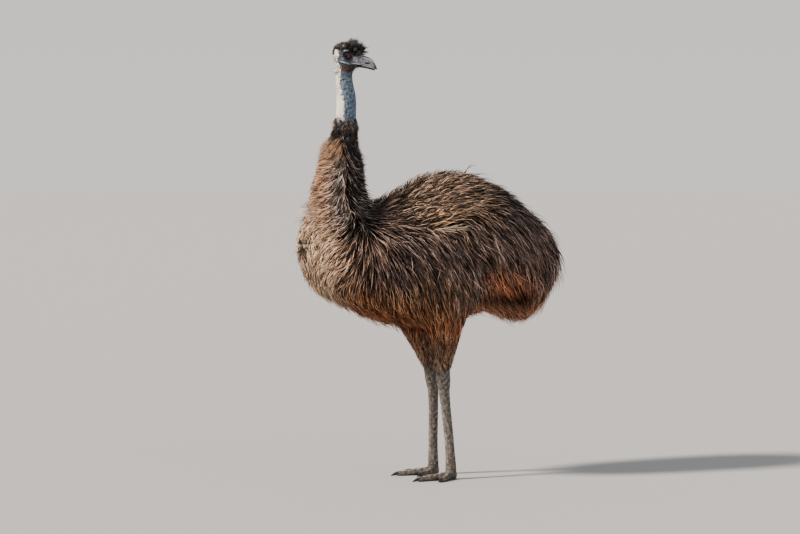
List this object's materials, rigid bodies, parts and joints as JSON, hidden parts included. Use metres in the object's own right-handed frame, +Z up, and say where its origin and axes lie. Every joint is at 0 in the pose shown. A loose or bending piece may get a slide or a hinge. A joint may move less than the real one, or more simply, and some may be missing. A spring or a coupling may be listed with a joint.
{
  "type": "emu, life-size standing figure",
  "caption": "Tall flightless bird standing on two legs, shaggy drooping plumage, long neck, head turned back; a still museum figure.",
  "frame": {"origin": "on the floor under the middle of the outline's box, between the feet", "axes": "+Z up, -Y the way the body faces, +X the bird's left side"},
  "size_m": [0.5084, 1.12, 1.705],
  "materials": {
    "plumage": "shaggy brown feathers, sun-bleached tips over near-black roots",
    "ruff": "matt black bristly feathers",
    "bare_skin": "pale blue-grey bare skin with thin black hairs",
    "leg_skin": "grey-brown scaly leg skin",
    "bill": "dark grey horn, satin",
    "claw": "black horn, satin",
    "eye": "wet red-brown eye"
  },
  "bodies": {
    "root": {"trunk": "plumage", "tail": "plumage", "wing_left": "plumage", "wing_right": "plumage", "neck_lower": "plumage", "neck_ruff": "ruff", "neck_upper": "bare_skin", "head": "bare_skin", "crest": "ruff", "bill_upper": "bill", "bill_lower": "bill", "eye_left": "eye", "eye_right": "eye", "drumstick_left": "plumage", "shank_left": "leg_skin", "foot_left": "leg_skin", "claw_middle_left": "claw", "claw_inner_left": "claw", "claw_outer_left": "claw", "drumstick_right": "plumage", "shank_right": "leg_skin", "foot_right": "leg_skin", "claw_middle_right": "claw", "claw_inner_right": "claw", "claw_outer_right": "claw"}
  },
  "joints": []
}
